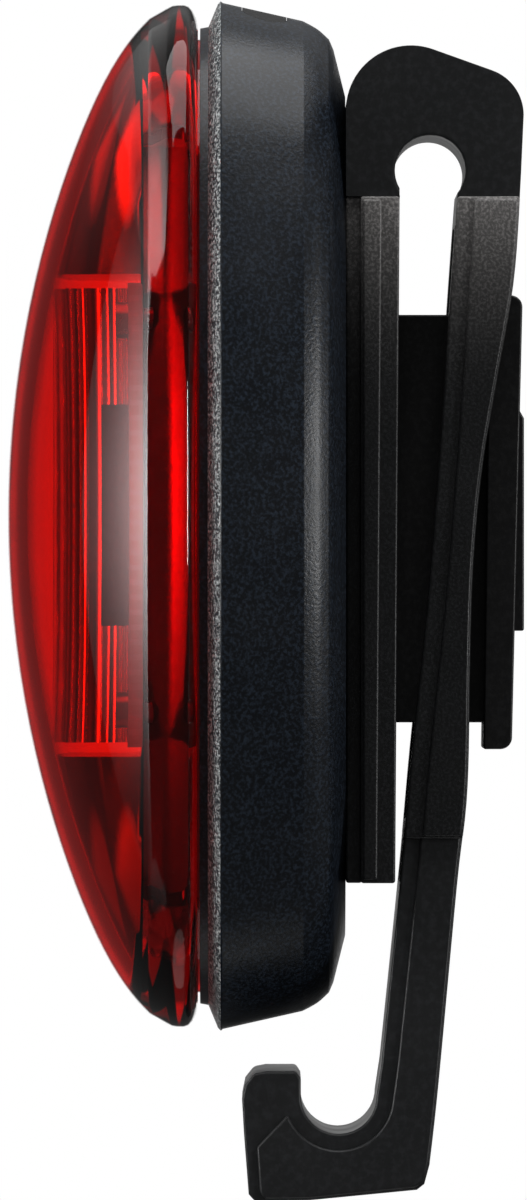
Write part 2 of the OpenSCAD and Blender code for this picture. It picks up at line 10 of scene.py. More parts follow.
import bmesh
import bpy
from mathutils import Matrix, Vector


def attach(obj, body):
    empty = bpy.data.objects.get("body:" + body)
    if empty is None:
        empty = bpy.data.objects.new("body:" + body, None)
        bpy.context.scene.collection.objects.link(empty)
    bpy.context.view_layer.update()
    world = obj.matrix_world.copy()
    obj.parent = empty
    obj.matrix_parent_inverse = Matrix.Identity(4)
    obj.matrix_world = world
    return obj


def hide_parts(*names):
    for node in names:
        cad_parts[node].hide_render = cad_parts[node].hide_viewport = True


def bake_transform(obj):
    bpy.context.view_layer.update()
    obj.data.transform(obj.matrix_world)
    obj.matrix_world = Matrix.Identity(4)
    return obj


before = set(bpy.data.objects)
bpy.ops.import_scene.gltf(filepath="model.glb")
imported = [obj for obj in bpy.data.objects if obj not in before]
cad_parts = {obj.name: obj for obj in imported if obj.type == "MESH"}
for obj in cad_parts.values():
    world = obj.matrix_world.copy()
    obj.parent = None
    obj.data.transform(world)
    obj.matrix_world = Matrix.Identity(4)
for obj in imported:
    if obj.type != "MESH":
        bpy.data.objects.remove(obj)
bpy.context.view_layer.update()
MM = 0.001

# %% [markdown]
# ## Camera
# The photograph looks straight at the light's side from rather far away: the top of the hook
# shows as a thin sliver, which a camera about 1.2 m off gives. A long lens keeps that distance
# and still fills the frame with the light.

# %% Camera of the photograph
view_distance = 1200 * MM
frame_height = 81.6 * MM
frame_middle = Vector((0, -17.65, -5.71)) * MM
sensor = 36
camera_data = bpy.data.cameras.new("photo_camera")
camera_data.sensor_fit = "VERTICAL"
camera_data.sensor_height = sensor
camera_data.lens = sensor * view_distance / frame_height
camera = bpy.data.objects.new("photo_camera", camera_data)
camera.location = frame_middle + Vector((view_distance, 0, 0))
camera.rotation_euler = (math.radians(90), 0, math.radians(90))
bpy.context.scene.collection.objects.link(camera)
bpy.context.scene.camera = camera
bpy.context.scene.view_settings.view_transform = "Standard"
print("lens", round(camera_data.lens, 1), "mm")

# %% [markdown]
# ## Nodes and colours
# One small function adds any shader node with its settings and links, and one turns the
# written sRGB colours to the linear values that Blender works in.

# %% Helpers for nodes and colours
def linear(code):
    parts = [int(code[i:i + 2], 16) / 255 for i in (1, 3, 5)]
    return (*[c / 12.92 if c <= 0.04045 else ((c + 0.055) / 1.055) ** 2.4 for c in parts], 1)


def add(tree, kind, settings=None, links=None):
    made = tree.nodes.new(kind)
    for key, value in (settings or {}).items():
        if isinstance(key, int) or key in made.inputs:
            made.inputs[key].default_value = value
        else:
            setattr(made, key, value)
    for key, source in (links or {}).items():
        tree.links.new(source, made.inputs[key])
    return made


print("white is", linear("#ffffff"))

# %% [markdown]
# ## Studio
# The light floats before a wall of pure white. The camera and the clear plastic see that wall, and
# so does gloss that looks past an edge. Elsewhere gloss sees a dim room, as the dark sides of the
# lens and the housing show, with the softboxes in it, and the wall's glow high up behind the light.
# A refracted ray counts as glossy too, so only a ray that is glossy and not transmitted takes
# the dim room.

# %% White backdrop and dim room
world = bpy.data.worlds.new("white_studio")
bpy.context.scene.world = world
world.use_nodes = True
sky = world.node_tree
way = add(sky, "ShaderNodeTexCoord").outputs["Generated"]
way = add(sky, "ShaderNodeSeparateXYZ", {}, {"Vector": way}).outputs
side = way["X"]
wall = add(sky, "ShaderNodeMapRange", {
    "interpolation_type": "SMOOTHSTEP", "From Min": -0.92, "From Max": -0.98, "To Min": 0.2, "To Max": 1.0,
}, {"Value": side}).outputs["Result"]
room = add(sky, "ShaderNodeMapRange", {
    "interpolation_type": "SMOOTHSTEP", "From Min": -0.97, "From Max": -0.995, "To Min": 0.06, "To Max": 1.0,
}, {"Value": side}).outputs["Result"]
behind = add(sky, "ShaderNodeMapRange", {
    "From Min": 0.1, "From Max": -0.6}, {"Value": side}).outputs["Result"]
above = add(sky, "ShaderNodeMapRange", {
    "From Min": 0.15, "From Max": 0.5, "To Min": 0.0, "To Max": 0.35}, {"Value": way["Z"]}).outputs["Result"]
high = add(sky, "ShaderNodeMath", {"operation": "MULTIPLY"}, {0: behind, 1: above}).outputs["Value"]
ray = add(sky, "ShaderNodeLightPath").outputs
gloss = add(sky, "ShaderNodeMath", {"operation": "SUBTRACT", "use_clamp": True}, {
    0: ray["Is Glossy Ray"], 1: ray["Is Transmission Ray"]}).outputs["Value"]
seen = add(sky, "ShaderNodeMapRange", {}, {"Value": gloss, "To Min": wall, "To Max": room}).outputs["Result"]
seen = add(sky, "ShaderNodeMath", {"operation": "MAXIMUM"}, {0: seen, 1: high}).outputs["Value"]
level = add(sky, "ShaderNodeMath", {"operation": "MAXIMUM"}, {
    0: seen, 1: ray["Is Camera Ray"]}).outputs["Value"]
sky.links.new(level, sky.nodes["Background"].inputs["Strength"])
sky.nodes["Background"].inputs["Color"].default_value = (1, 1, 1, 1)
print("world:", world.name)


# %% Softboxes
def softbox(name, place, width, height, radiance):
    """Rectangular lamp that faces the light's middle."""
    lamp_data = bpy.data.lights.new(name, "AREA")
    lamp_data.shape = "RECTANGLE"
    lamp_data.size = width
    lamp_data.size_y = height
    lamp_data.energy = radiance * math.pi * width * height
    lamp = bpy.data.objects.new(name, lamp_data)
    lamp.location = place
    aim = Vector(frame_middle) - Vector(place)
    lamp.rotation_euler = aim.to_track_quat("-Z", "Y").to_euler()
    bpy.context.scene.collection.objects.link(lamp)
    print(name, "gives", round(lamp_data.energy, 2), "W")
    return lamp_data


softbox("clip_side_softbox", (0.355, 0.795, 0.06), 0.16, 0.26, 16.0)
softbox("overhead_softbox", (0.10, 0.0, 0.90), 1.20, 1.00, 2.4)

# %% [markdown]
# ## Lens-side softboxes
# The broad milky reflection on the dome is one large softbox, and a weaker one above it veils the
# dome's upper end. Both are brightest beside the camera, where their bulbs are, and fall off to
# the far edge and towards top and bottom. The lamp's own nodes draw that falloff from the
# place on its sheet.

# %% Lens-side softboxes
def fade(sheet, rate, level, spread, least):
    """Falloff along a softbox's width as exp(rate u + level), and from its middle to top and bottom."""
    sheet.use_nodes = True
    tree = sheet.node_tree
    spot = add(tree, "ShaderNodeNewGeometry").outputs["Parametric"]
    spot = add(tree, "ShaderNodeSeparateXYZ", {}, {"Vector": spot}).outputs
    along = add(tree, "ShaderNodeMath", {
        "operation": "MULTIPLY_ADD", 1: rate, 2: level}, {0: spot["X"]}).outputs["Value"]
    along = add(tree, "ShaderNodeMath", {"operation": "EXPONENT"}, {0: along}).outputs["Value"]
    up = add(tree, "ShaderNodeMath", {"operation": "SUBTRACT", 1: 0.5}, {0: spot["Y"]}).outputs["Value"]
    up = add(tree, "ShaderNodeMath", {"operation": "POWER", 1: 2.0}, {0: up}).outputs["Value"]
    up = add(tree, "ShaderNodeMath", {"operation": "MULTIPLY", 1: -spread}, {0: up}).outputs["Value"]
    up = add(tree, "ShaderNodeMath", {"operation": "EXPONENT"}, {0: up}).outputs["Value"]
    up = add(tree, "ShaderNodeMath", {
        "operation": "MULTIPLY_ADD", 1: 1 - least, 2: least}, {0: up}).outputs["Value"]
    glow = add(tree, "ShaderNodeMath", {"operation": "MULTIPLY"}, {0: along, 1: up}).outputs["Value"]
    tree.links.new(glow, tree.nodes["Emission"].inputs["Strength"])


def beside(distance, turn, rise):
    """Place at a distance, turned from the camera's side to the lens's side, and raised; in degrees."""
    turn, rise = math.radians(turn), math.radians(rise)
    away = Vector((math.cos(rise) * math.cos(turn), -math.cos(rise) * math.sin(turn), math.sin(rise)))
    return away * distance + Vector((0, frame_middle.y, 0))


fade(softbox("lens_side_softbox", beside(0.8, 84.5, 3), 0.474, 1.68, 1.0), 3.63, -0.865, 53.2, 0.015)
fade(softbox("lens_top_softbox", beside(0.9, 110, 38), 1.62, 0.52, 1.0), 2.6, -1.15, 8.0, 0.0)

# %% [markdown]
# ## Floor
# The floor is a plain pale disc well below the light. It stays out of the photograph's view,
# and catches the light's shadow in the other views.

# %% Floor
floor_radius = 0.3
floor_z = -0.8
bm = bmesh.new()
bmesh.ops.create_circle(bm, cap_ends=True, segments=96, radius=floor_radius)
bmesh.ops.translate(bm, verts=bm.verts, vec=(0, 0, floor_z))
floor_mesh = bpy.data.meshes.new("floor")
bm.to_mesh(floor_mesh)
bm.free()
floor = bpy.data.objects.new("floor", floor_mesh)
bpy.context.scene.collection.objects.link(floor)
pale_paint = bpy.data.materials.new("pale_floor_paint")
pale_paint.use_nodes = True
pale_paint.node_tree.nodes["Principled BSDF"].inputs["Base Color"].default_value = linear("#e6e6e4")
pale_paint.node_tree.nodes["Principled BSDF"].inputs["Roughness"].default_value = 0.8
floor_mesh.materials.append(pale_paint)
print("floor of", floor_radius, "m at", floor_z, "m")


# %% [markdown]
# ## From millimetres to pieces
# Each piece is drawn in a bmesh in millimetres. One function scales it, gives it smooth
# shading with sharp creases, and hands over the object. Another rounds the sharp edges,
# because no moulded edge is perfectly sharp and the rounding is what catches the light.

# %% Helpers for pieces
def make_piece(name, bm, finishes, crease=35):
    bmesh.ops.scale(bm, vec=(MM, MM, MM), verts=bm.verts)
    mesh = bpy.data.meshes.new(name)
    bm.to_mesh(mesh)
    bm.free()
    for finish in finishes:
        mesh.materials.append(finish)
    mesh.shade_smooth()
    mesh.set_sharp_from_angle(angle=math.radians(crease))
    made = bpy.data.objects.new(name, mesh)
    bpy.context.scene.collection.objects.link(made)
    print(name, "has", len(mesh.polygons), "faces")
    return made


def round_edges(bm, radius, least=35, segments=3):
    sharp = [e for e in bm.edges if e.is_manifold and e.calc_face_angle() > math.radians(least)]
    bmesh.ops.bevel(
        bm, geom=sharp, offset=radius, offset_type="OFFSET", segments=segments, profile=0.5,
        affect="EDGES", clamp_overlap=True, material=-1)


def keep_flats_flat(made):
    """Weighs the normals by face, so that rounded edges don't shade the flats."""
    weigh = made.modifiers.new("flat_faces", "WEIGHTED_NORMAL")
    weigh.keep_sharp = True


print("pieces are drawn in mm and scaled by", MM)

# %% [markdown]
# ## Oval outline
# The lens rim and the housing are one profile carried around an oval: two long side arcs and two
# end arcs that meet without a corner. Each arc is a spin about its own centre, so one helper
# that spins five times, from mid height round to mid height, gives all of these pieces.

# %% Sweep around the oval
half_w = 20
tip_r = 16
tip_z = 35 - tip_r
side_r = (half_w ** 2 + tip_z ** 2 - tip_r ** 2) / (2 * (half_w - tip_r))
side_x = side_r - half_w
side_turn = math.atan2(tip_z, side_x)
tip_turn = math.pi - 2 * side_turn
side_steps = 24
tip_steps = 40


def sweep_around(bm, profile):
    """Spins vertices and edges, drawn at mid height on +X, around the oval, and closes the seam."""
    last = profile
    for centre, turn, steps in (
        ((-side_x, 0, 0), side_turn, side_steps), ((0, 0, tip_z), tip_turn, tip_steps),
        ((side_x, 0, 0), 2 * side_turn, 2 * side_steps), ((0, 0, -tip_z), tip_turn, tip_steps),
        ((-side_x, 0, 0), side_turn, side_steps),
    ):
        spun = bmesh.ops.spin(
            bm, geom=last, cent=centre, axis=(0, -1, 0), angle=turn, steps=steps, use_merge=False)
        last = spun["geom_last"]
    bmesh.ops.remove_doubles(bm, verts=bm.verts, dist=0.001)
    bmesh.ops.recalc_face_normals(bm, faces=bm.faces)


def draw_profile(bm, outline, closed=False):
    """Points of half width and distance in front of the pad, joined by edges."""
    points = [bm.verts.new((r, -d, 0)) for r, d in outline]
    runs = list(zip(points, points[1:])) + ([(points[-1], points[0])] if closed else [])
    return points + [bm.edges.new(run) for run in runs]


print("side radius", round(side_r, 1), "mm, end radius", tip_r, "mm")

# %% [markdown]
# ## Tinted acrylic
# The lens and its rim are clear acrylic, dyed deep red all through and moulded in a polished
# tool. The dye is inside the plastic, so a thin place shows orange and a thick one shows dark
# red. A surface colour can't do that. Absorption in the volume does, so the surface stays clear.

# %% Finish: dyed acrylic, moulded in a polished tool
def dyed_acrylic(name, tint, depth_mm, roughness):
    """Clear moulded acrylic whose dye takes away light over a depth in millimetres."""
    material = bpy.data.materials.new(name)
    material.use_nodes = True
    tree = material.node_tree
    shader = tree.nodes["Principled BSDF"]
    shader.inputs["Base Color"].default_value = (1, 1, 1, 1)
    shader.inputs["Transmission Weight"].default_value = 1
    shader.inputs["IOR"].default_value = 1.49
    place = add(tree, "ShaderNodeTexCoord").outputs["Object"]
    # Moulded plastic is never optically flat: a slow waviness of about 6 mm bends its reflections a little.
    wave = add(tree, "ShaderNodeTexNoise", {"Scale": 1 / (6 * MM), "Detail": 1.0}, {"Vector": place})
    bump = add(tree, "ShaderNodeBump", {
        "Strength": 0.15, "Distance": 0.05 * MM}, {"Height": wave.outputs["Fac"]})
    # Handling leaves faint dull patches some 3 mm across.
    dull = add(tree, "ShaderNodeTexNoise", {"Scale": 1 / (3 * MM), "Detail": 3.0}, {"Vector": place})
    gloss = add(tree, "ShaderNodeMapRange", {
        "From Min": 0.4, "From Max": 0.75, "To Min": roughness, "To Max": roughness + 0.05,
    }, {"Value": dull.outputs["Fac"]})
    tree.links.new(bump.outputs["Normal"], shader.inputs["Normal"])
    tree.links.new(gloss.outputs["Result"], shader.inputs["Roughness"])
    dye = add(tree, "ShaderNodeVolumeAbsorption", {"Color": linear(tint), "Density": 1 / (depth_mm * MM)})
    tree.links.new(dye.outputs["Volume"], tree.nodes["Material Output"].inputs["Volume"])
    print(name, "absorbs over", depth_mm, "mm")
    return material


lens_acrylic = dyed_acrylic("dyed_acrylic_polished", "#fdae00", 0.3, 0.02)
optic_acrylic = dyed_acrylic("tinted_acrylic_fluted", "#ffd080", 4, 0.04)

# %% [markdown]
# ## Lens
# The lens is a thin moulded dome on a thicker rim, with a collar that plugs into the housing.
# The dome is welded to the rim, so light runs on from one to the other, and the two are modelled
# as one closed skin. The dome's outer and inner sides are fans of rings inside the foot's outline,
# lifted to its curve: a long arc along the height and a rounder arc across. The rim's profile is
# swept around from one foot to the other, and merging the doubles closes the skin.

# %% Curve of the dome
ring_front_d = 25.4
dome_r = 18.85
dome_h = 9.65
dome_wall = 1.3
crown_r = 71.5
foot_tip_r = dome_r + tip_r - half_w
foot_side_r = dome_r + side_x
dome_half = tip_z + foot_tip_r
end_drop = dome_h - crown_r + math.sqrt(crown_r ** 2 - dome_half ** 2)


def dome_rise(x, z, wall=0.0):
    """Height of the dome over a point of its foot, or of its inner side behind a wall."""
    if abs(z) <= foot_side_r * math.sin(side_turn):
        half_width = math.sqrt(foot_side_r ** 2 - z * z) - side_x
    else:
        half_width = math.sqrt(max(foot_tip_r ** 2 - (abs(z) - tip_z) ** 2, 0))
    crown = dome_h - crown_r + math.sqrt(crown_r ** 2 - z * z) - end_drop * (abs(z) / dome_half) ** 16
    crown = max(crown, 0.001)
    across_r = (half_width ** 2 + crown ** 2) / (2 * crown)
    rise = math.sqrt(max(across_r ** 2 - x * x, 0)) - across_r + crown
    if wall:
        step = 0.02
        slope_x = (dome_rise(x + step, z) - dome_rise(x - step, z)) / (2 * step)
        slope_z = (dome_rise(x, z + step) - dome_rise(x, z - step)) / (2 * step)
        rise -= wall * math.sqrt(1 + slope_x ** 2 + slope_z ** 2)
    return max(rise, 0)


print("dome rises", dome_h, "mm at its middle and", round(dome_rise(0, 25), 2), "mm near its ends")


# %% Lens
def dome_skin(bm, inset, rings=28):
    """One side of the dome: rings inside its foot, lifted to the curve."""
    before = set(bm.edges)
    sweep_around(bm, [bm.verts.new((dome_r - inset, -ring_front_d, 0))])
    ring = [e for e in bm.edges if e not in before]
    lifted = []
    for k in range(1, rings):
        shrink = math.cos(math.pi / 2 * k / rings) / math.cos(math.pi / 2 * (k - 1) / rings)
        drawn = bmesh.ops.extrude_edge_only(bm, edges=ring)["geom"]
        moved = {g for g in drawn if isinstance(g, bmesh.types.BMVert)}
        bmesh.ops.scale(bm, vec=(shrink, 1, shrink), verts=list(moved))
        ring = [g for g in drawn if isinstance(g, bmesh.types.BMEdge) and moved.issuperset(g.verts)]
        lifted += moved
    for point in lifted:
        point.co.y -= dome_rise(point.co.x, point.co.z, inset)
    drawn = bmesh.ops.extrude_edge_only(bm, edges=ring)["geom"]
    moved = [g for g in drawn if isinstance(g, bmesh.types.BMVert)]
    bmesh.ops.pointmerge(bm, verts=moved, merge_co=(0, -ring_front_d - dome_rise(0, 0, inset), 0))


rim_profile = [
    (dome_r, ring_front_d), (18.99, 25.15), (19.13, 24.9), (19.5, 24.25), (19.7, 23.85), (19.75, 23.5),
    (19.75, 23.05), (19.65, 22.75), (19.4, 22.5), (18.85, 22.22), (18.1, 22.1), (17.4, 22.1),
    (17.4, 21.4), (16.25, 21.4), (16.25, 20.1), (17.4, 20.1), (17.4, 19.6), (15.6, 19.6),
    (15.6, ring_front_d), (dome_r - dome_wall, ring_front_d),
]
bm = bmesh.new()
dome_skin(bm, 0)
dome_skin(bm, dome_wall)
sweep_around(bm, draw_profile(bm, rim_profile))
lens = make_piece("lens_moulding", bm, [lens_acrylic], crease=32)
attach(lens, "front_module")
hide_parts("lens_dome", "lens_ring")


# %% [markdown]
# ## Outlines in the side view
# The clip, the shoe and the optic are prisms: one outline, drawn out along an axis. Two small functions draw
# arcs and smooth lines through given points, and one extrudes the outline.

# %% Helpers for prisms
def arc(centre, radius, start, stop, steps):
    turns = [math.radians(start + (stop - start) * k / steps) for k in range(steps + 1)]
    return [(centre[0] + radius * math.cos(a), centre[1] + radius * math.sin(a)) for a in turns]


def smooth_line(points, steps=6):
    """Curve through the points, which leaves each one towards the next but one."""
    line = []
    for i in range(len(points) - 1):
        near = [Vector(points[min(max(i + k, 0), len(points) - 1)]) for k in (-1, 0, 1, 2)]
        for k in range(steps):
            t = k / steps
            spot = (2 * near[1] + (near[2] - near[0]) * t
                    + (2 * near[0] - 5 * near[1] + 4 * near[2] - near[3]) * t * t
                    + (3 * near[1] - near[0] - 3 * near[2] + near[3]) * t ** 3) / 2
            line.append(tuple(spot))
    return line + [tuple(points[-1])]


def prism(bm, outline, x_from, x_to, finish=0):
    """Draws a side outline of depth and height out along X."""
    before = set(bm.faces)
    face = bm.faces.new([bm.verts.new((x_from, y, z)) for y, z in outline])
    drawn = bmesh.ops.extrude_face_region(bm, geom=[face], use_keep_orig=True)["geom"]
    bmesh.ops.translate(
        bm, verts=[g for g in drawn if isinstance(g, bmesh.types.BMVert)], vec=(x_to - x_from, 0, 0))
    made = [f for f in bm.faces if f not in before]
    for face in made:
        face.material_index = finish
    bmesh.ops.recalc_face_normals(bm, faces=made)


def at_height(line, z):
    """Depth of a side line at a height."""
    for (y0, z0), (y1, z1) in zip(line, line[1:]):
        if min(z0, z1) <= z <= max(z0, z1) and z0 != z1:
            return y0 + (y1 - y0) * (z - z0) / (z1 - z0)
    return line[0][0] if abs(z - line[0][1]) < abs(z - line[-1][1]) else line[-1][0]


print("half circle in 4 steps:", [tuple(round(c, 2) for c in p) for p in arc((0, 0), 1, 0, 180, 4)])

# %% [markdown]
# ## Plated plastic
# Inside the lens, reflectors are plastic mouldings that were coated with aluminium in a vacuum
# chamber. They give the lens its bright streaks: a plated flank shows a softbox where it is
# turned to it, and the dark room elsewhere.

# %% Finish: metals, plated or drawn
def worked_metal(name, colour, dull_colour, roughness, streak_mm, masked=None):
    """Bare or plated metal with fine marks. A masked colour shows where the attribute plated is 0."""
    material = bpy.data.materials.new(name)
    material.use_nodes = True
    tree = material.node_tree
    shader = tree.nodes["Principled BSDF"]
    shader.inputs["Metallic"].default_value = 1
    place = add(tree, "ShaderNodeTexCoord").outputs["Object"]
    marks = add(tree, "ShaderNodeTexNoise", {
        "Scale": 1 / (streak_mm * MM), "Detail": 3.0}, {"Vector": place}).outputs["Fac"]
    tint = add(tree, "ShaderNodeMixRGB", {
        "Color1": linear(colour), "Color2": linear(dull_colour)}, {"Fac": marks})
    if masked:
        share = add(tree, "ShaderNodeAttribute", {"attribute_name": "plated"}).outputs["Fac"]
        tint = add(tree, "ShaderNodeMixRGB", {"Color1": linear(masked)}, {
            "Fac": share, "Color2": tint.outputs["Color"]})
    gloss = add(tree, "ShaderNodeMapRange", {
        "To Min": roughness * 0.7, "To Max": roughness * 1.3}, {"Value": marks})
    tree.links.new(tint.outputs["Color"], shader.inputs["Base Color"])
    tree.links.new(gloss.outputs["Result"], shader.inputs["Roughness"])
    print(name, "roughness about", roughness)
    return material


plating = worked_metal("aluminium_vacuum_plated", "#e8e8ea", "#cfcfd2", 0.12, 2)

# %% [markdown]
# ## Fluted optic
# Inside the dome a fluted arch spreads the light of the diodes sideways. Its flutes are small
# waves on the outer side of a half ellipse, which is extruded along the height. The crown is
# clear, and the inner side of both flanks is plated, so the flutes light up as upright lines.

# %% Fluted optic
board_front_d = 26.4
optic_a = 10.6
optic_b = 5.4
optic_t = 0.9
optic_half = 15.2
flutes = 24
flute_depth = 0.2
plated_from = 2.2
arch = []
for k in range(8 * flutes + 1):
    turn = math.pi * k / (8 * flutes)
    wave = flute_depth * math.cos(flutes * turn)
    arch.append(((optic_a + wave) * math.cos(turn), board_front_d + (optic_b + wave) * math.sin(turn)))
for k in range(49):
    turn = math.pi * (1 - k / 48)
    arch.append(((optic_a - optic_t) * math.cos(turn), board_front_d + (optic_b - optic_t) * math.sin(turn)))
bm = bmesh.new()
foot = bm.faces.new([bm.verts.new((x, -d, -optic_half)) for x, d in arch])
drawn = bmesh.ops.extrude_face_region(bm, geom=[foot], use_keep_orig=True)["geom"]
bmesh.ops.translate(
    bm, verts=[g for g in drawn if isinstance(g, bmesh.types.BMVert)], vec=(0, 0, 2 * optic_half))
bmesh.ops.recalc_face_normals(bm, faces=bm.faces)
for face in bm.faces:
    middle = face.calc_center_median()
    ellipse = (middle.x / optic_a) ** 2 + ((middle.y + board_front_d) / optic_b) ** 2
    if len(face.verts) == 4 and ellipse < 0.85 and abs(middle.x) > plated_from:
        face.material_index = 1
optic = make_piece("fluted_optic", bm, [optic_acrylic, plating], crease=50)
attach(optic, "front_module")
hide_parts("optic_insert")

# %% [markdown]
# ## End reflectors
# In both rounded ends of the lens sits a reflector, a narrower copy of the dome. Lobes like those
# of a shell run along it. The plating is thick only in petals on the outer lobes, so these light up
# red and the rest stays dark. A grid is fitted to its outline, lifted to the curve, and extruded
# back to the rim's plane. Each point keeps its share of plating as an attribute.

# %% End reflectors
# Shares of the dome's width, length and height
narrow = 0.6
shorter = 0.95
lower = 0.95
near_z = 16.2
far_z = 30.8
lobes = 9
lobe_depth = 0.35
bright_lobes = 2
petal_z = 24.2
petal_half = 5.0
petal_edge = 0.4
petal_plating = worked_metal("aluminium_plated_in_petals", "#f2f2f4", "#e2e2e5", 0.12, 2, "#454547")


def half_width_of(r, z):
    """Half width of the oval outline with half width r, at a height."""
    if z <= (r + side_x) * math.sin(side_turn):
        return math.sqrt((r + side_x) ** 2 - z * z) - side_x
    return math.sqrt(max((r + tip_r - half_w) ** 2 - (z - tip_z) ** 2, 0))


for name, node_name, end in (
    ("end_reflector_top", "reflex_top", 1), ("end_reflector_bottom", "reflex_bottom", -1),
):
    bm = bmesh.new()
    plated = bm.verts.layers.float.new("plated")
    bmesh.ops.create_grid(bm, x_segments=140, y_segments=50, size=1)
    for point in bm.verts:
        across, z = point.co.x, near_z + (far_z - near_z) * (point.co.y + 1) / 2
        x = across * narrow * half_width_of(dome_r, z / shorter)
        lobe = lobe_depth * abs(math.sin(math.pi * lobes * (across + 1) / 2))
        rise = min(lower * dome_rise(x / narrow, z / shorter), dome_rise(x, z, dome_wall) - 0.1)
        rise = max(rise - lobe, 0.1)
        if abs(across) > 1 - 2 * bright_lobes / lobes:
            share = (lobe / lobe_depth - abs(z - petal_z) / petal_half) / petal_edge
            point[plated] = min(max(share, 0), 1)
        point.co = (x, -ring_front_d - rise, end * z)
    fronts = list(bm.faces)
    drawn = bmesh.ops.extrude_face_region(bm, geom=fronts, use_keep_orig=True)["geom"]
    for point in (g for g in drawn if isinstance(g, bmesh.types.BMVert)):
        point.co.y = -ring_front_d
    bmesh.ops.recalc_face_normals(bm, faces=bm.faces)
    shell = make_piece(name, bm, [petal_plating], crease=40)
    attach(shell, "front_module")
    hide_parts(node_name)

# %% [markdown]
# ## Collar reflector
# A plated band lines the collar of the lens. It slopes by some 38 degrees, so that through the rim it
# shows the light in front of the lens, and the rim glows. Where the battery contacts pass
# it is cut away.

# %% Collar reflector
band = [(15.58, 21.3), (15.58, 22.0), (13.58, 24.57), (13.08, 24.57), (15.08, 22.0), (15.08, 21.3)]
notch_x = 8.8
notch_z = 25.7
bm = bmesh.new()
sweep_around(bm, draw_profile(bm, band, closed=True))
middles = {face: face.calc_center_median() for face in bm.faces}
bmesh.ops.delete(
    bm, geom=[f for f, c in middles.items() if abs(c.x) < notch_x and abs(c.z) < notch_z], context="FACES")
# A thin coat lets some of the black plastic through, so this band is greyer than the other plating.
thin_plating = worked_metal("aluminium_thinly_plated", "#848486", "#747476", 0.16, 2)
collar = make_piece("collar_reflector", bm, [thin_plating])
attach(collar, "front_module")
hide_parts("reflector_skirt")

# %% [markdown]
# ## Black plastics
# The housing is ABS from a spark-eroded tool, which leaves a fine sparkling grain. The clip is
# acetal, a springy plastic: its legs carry a finer grain, and its bend and hook are satin.
# All are black, so nearly everything the eye sees of them is gloss broken up by the grain. The lip's pale
# grey and the paler tops of the clip's legs are painted highlights.

# %% Finish: black plastic from a grained tool
def moulded_black(name, dark, pale, grain_mm, depth_mm, roughness, painted_top_highlight=None):
    """Black plastic. Its grain is as wide and deep as given. An optional colour and two heights paint a
    highlight, paling it towards the upper height.
    """
    material = bpy.data.materials.new(name)
    material.use_nodes = True
    tree = material.node_tree
    shader = tree.nodes["Principled BSDF"]
    place = add(tree, "ShaderNodeTexCoord").outputs["Object"]
    grain = add(tree, "ShaderNodeTexNoise", {
        "Scale": 1 / (grain_mm * MM), "Detail": 2.0, "Roughness": 0.6,
    }, {"Vector": place}).outputs["Fac"]
    # Wear and handling change the gloss over patches of about 7 mm.
    patch = add(tree, "ShaderNodeTexNoise", {
        "Scale": 1 / (7 * MM), "Detail": 2.0}, {"Vector": place}).outputs["Fac"]
    tops = add(tree, "ShaderNodeMapRange", {
        "From Min": 0.45, "From Max": 0.66}, {"Value": grain}).outputs["Result"]
    colour = add(tree, "ShaderNodeMixRGB", {"Color1": linear(dark), "Color2": linear(pale)}, {"Fac": tops})
    # Painted highlight: the colour pales towards the upper height, as if lit from above, and most on the
    # grain's tops.
    if painted_top_highlight:
        shade, low_z, high_z = painted_top_highlight
        height = add(tree, "ShaderNodeSeparateXYZ", {}, {"Vector": place}).outputs["Z"]
        share = add(tree, "ShaderNodeMapRange", {
            "From Min": low_z * MM, "From Max": high_z * MM}, {"Value": height})
        share = add(tree, "ShaderNodeMath", {"operation": "POWER", 1: 3.0}, {0: share.outputs["Result"]})
        highlight_on_grain = add(tree, "ShaderNodeMapRange", {"To Min": 0.4, "To Max": 1.0}, {"Value": tops})
        share = add(tree, "ShaderNodeMath", {"operation": "MULTIPLY"}, {
            0: share.outputs["Value"], 1: highlight_on_grain.outputs["Result"]})
        colour = add(tree, "ShaderNodeMixRGB", {"Color2": linear(shade)}, {
            "Fac": share.outputs["Value"], "Color1": colour.outputs["Color"]})
    gloss = add(tree, "ShaderNodeMapRange", {
        "From Min": 0.3, "From Max": 0.7, "To Min": roughness - 0.06, "To Max": roughness + 0.06,
    }, {"Value": patch}).outputs["Result"]
    bump = add(tree, "ShaderNodeBump", {"Strength": 1.0, "Distance": depth_mm * MM}, {"Height": grain})
    tree.links.new(colour.outputs["Color"], shader.inputs["Base Color"])
    tree.links.new(gloss, shader.inputs["Roughness"])
    tree.links.new(bump.outputs["Normal"], shader.inputs["Normal"])
    print(name, "grain of", grain_mm, "mm")
    return material


# The housing's fine grain gives a cool satin sheen. The lip has a deep grain, and its pale grey, slightly
# cyan colour is a painted highlight for the light its bevel catches, tinted to offset the red light from the
# lens.
housing_abs = moulded_black("black_abs_spark_grained", "#0d1117", "#262f3b", 0.24, 0.02, 0.34)
lip_painted_highlight = moulded_black("black_abs_deep_grained_painted_highlight", "#34393d", "#d2d8d8", 0.22, 0.12, 0.34)
# The legs' colour is paler towards the top, a painted highlight standing in for the overhead light. The bend
# stays an even satin.
leg_acetal = moulded_black(
    "black_acetal_fine_grained", "#111213", "#232426", 0.2, 0.02, 0.40, painted_top_highlight=("#9c9997", 4, 21.5))
bend_acetal = moulded_black("black_acetal_satin", "#202122", "#2a2b2d", 0.5, 0.006, 0.38)
# The shoe and the inside are darker and duller, so they sink behind the clip and the lens.
shoe_nylon = moulded_black("black_nylon_satin", "#101011", "#1c1c1d", 0.35, 0.010, 0.40)
inner_abs = moulded_black("black_abs_inside", "#151516", "#232325", 0.4, 0.010, 0.5)

# %% [markdown]
# ## Battery housing
# The housing is a shallow tub: a flat back with a wide chamfer, walls that open towards the
# lens, and a bevelled front lip with a deeper grain. A low bead behind the rim keeps dirt from the
# seal. One open profile, outside and then inside, is swept around.
# The hole for the switch is cut with a Boolean, because it crosses the curved top wall.

